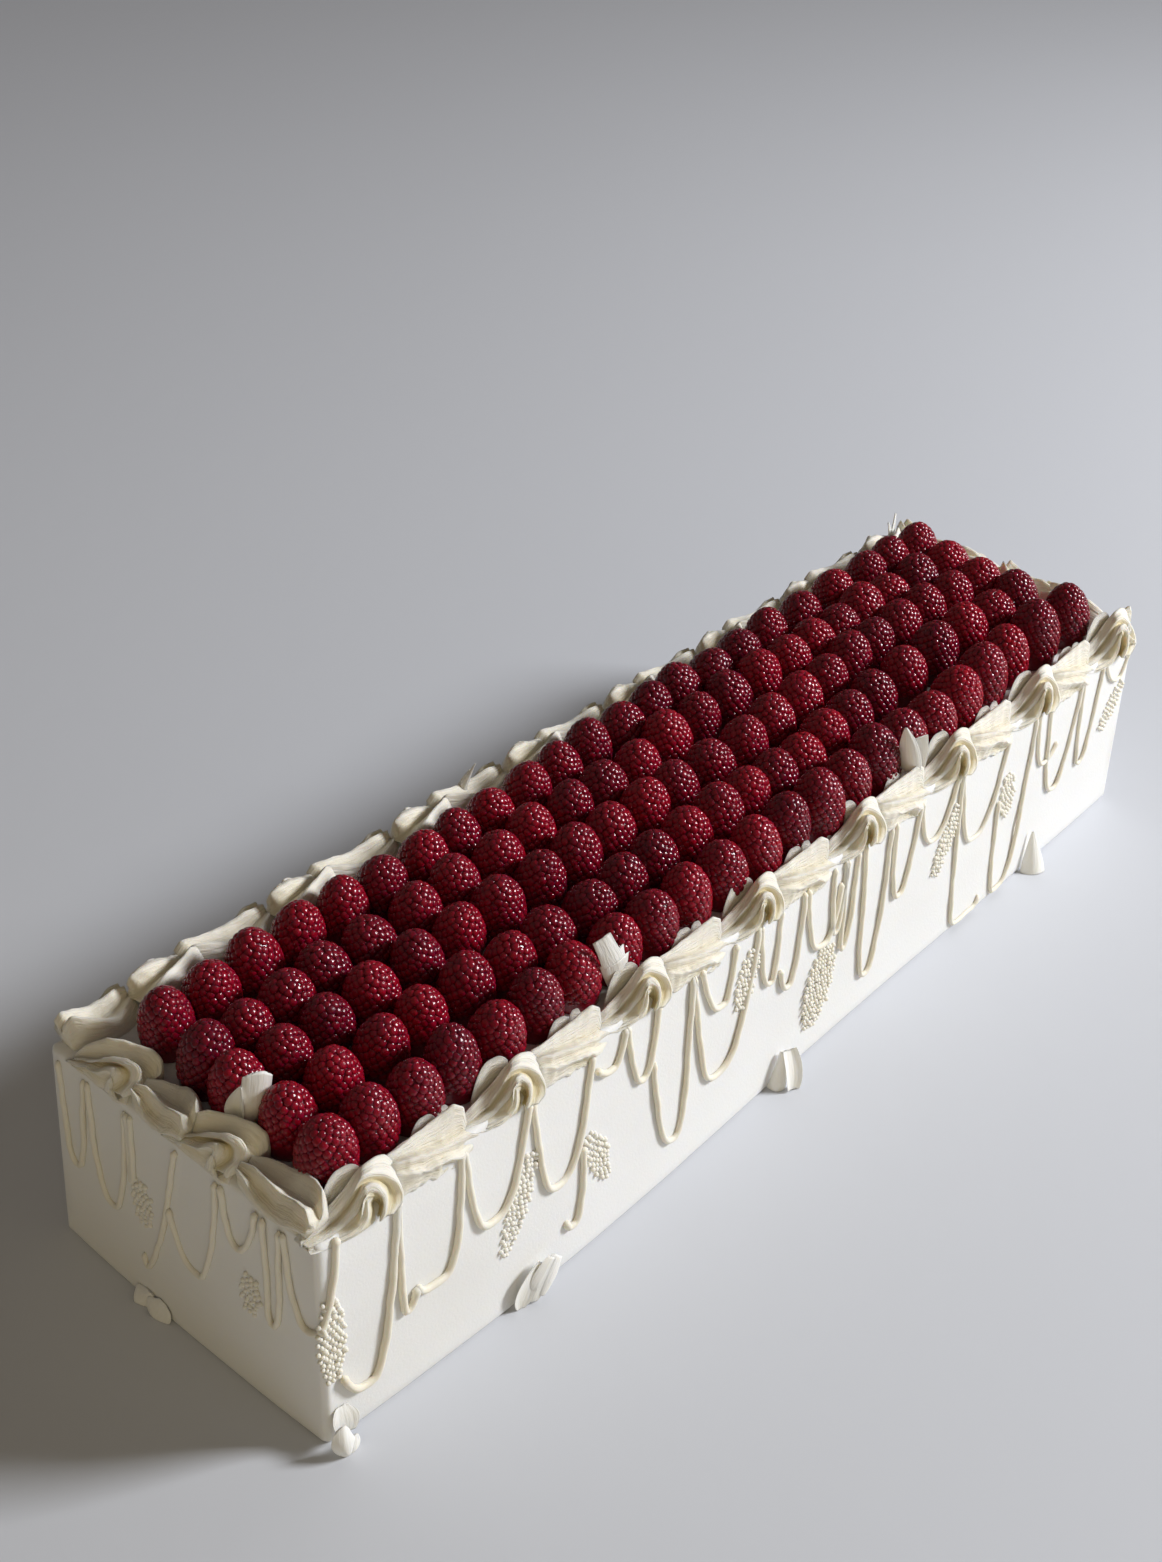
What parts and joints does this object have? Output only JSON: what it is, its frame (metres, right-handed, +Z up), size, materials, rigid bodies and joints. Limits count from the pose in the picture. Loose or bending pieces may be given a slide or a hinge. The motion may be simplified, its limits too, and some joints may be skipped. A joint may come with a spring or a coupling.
{
  "type": "fruit cake",
  "caption": "Long buttercream cake topped with rows of upright raspberries, with a piped scroll and shell border, drop strings, dots and petals.",
  "frame": {"origin": "centre of the cake's flat base", "axes": "+X along the cake's length towards its far end, -Y is the long side shown as the front, +Z up"},
  "size_m": [0.5558, 0.1589, 0.1233],
  "materials": {
    "frosting": "smooth white buttercream, satin",
    "border_cream": "ivory piped buttercream, satin, fine streaks",
    "raspberry": "ripe crimson raspberry, moist with small highlights",
    "petal_cream": "white buttercream petal, satin"
  },
  "bodies": {
    "root": {"cake": "frosting", "border_front_01": "border_cream", "border_front_02": "border_cream", "border_front_03": "border_cream", "border_front_04": "border_cream", "border_front_05": "border_cream", "border_front_06": "border_cream", "border_front_07": "border_cream", "border_front_08": "border_cream", "border_right_01": "border_cream", "border_right_02": "border_cream", "border_back_01": "border_cream", "border_back_02": "border_cream", "border_back_03": "border_cream", "border_back_04": "border_cream", "border_back_05": "border_cream", "border_back_06": "border_cream", "border_back_07": "border_cream", "border_back_08": "border_cream", "border_left_01": "border_cream", "border_left_02": "border_cream", "raspberries_row_01": "raspberry", "raspberries_row_02": "raspberry", "raspberries_row_03": "raspberry", "raspberries_row_04": "raspberry", "raspberries_row_05": "raspberry", "raspberries_row_06": "raspberry", "raspberries_row_07": "raspberry", "raspberries_row_08": "raspberry", "raspberries_row_09": "raspberry", "raspberries_row_10": "raspberry", "raspberries_row_11": "raspberry", "raspberries_row_12": "raspberry", "raspberries_row_13": "raspberry", "raspberries_row_14": "raspberry", "raspberries_row_15": "raspberry", "raspberries_row_16": "raspberry", "raspberries_row_17": "raspberry", "raspberries_row_18": "raspberry", "raspberries_row_19": "raspberry", "raspberries_row_20": "raspberry", "raspberries_row_21": "raspberry", "raspberries_row_22": "raspberry", "raspberries_row_23": "raspberry", "petal_left_end": "petal_cream", "petal_front_near": "petal_cream", "petal_front_far": "petal_cream", "petal_back": "petal_cream", "petal_far_corner": "petal_cream", "petal_foot_corner": "petal_cream", "petal_foot_front_near": "petal_cream", "petal_foot_front_middle": "petal_cream", "petal_foot_front_far": "petal_cream", "petal_foot_left_end": "petal_cream"}
  },
  "joints": []
}
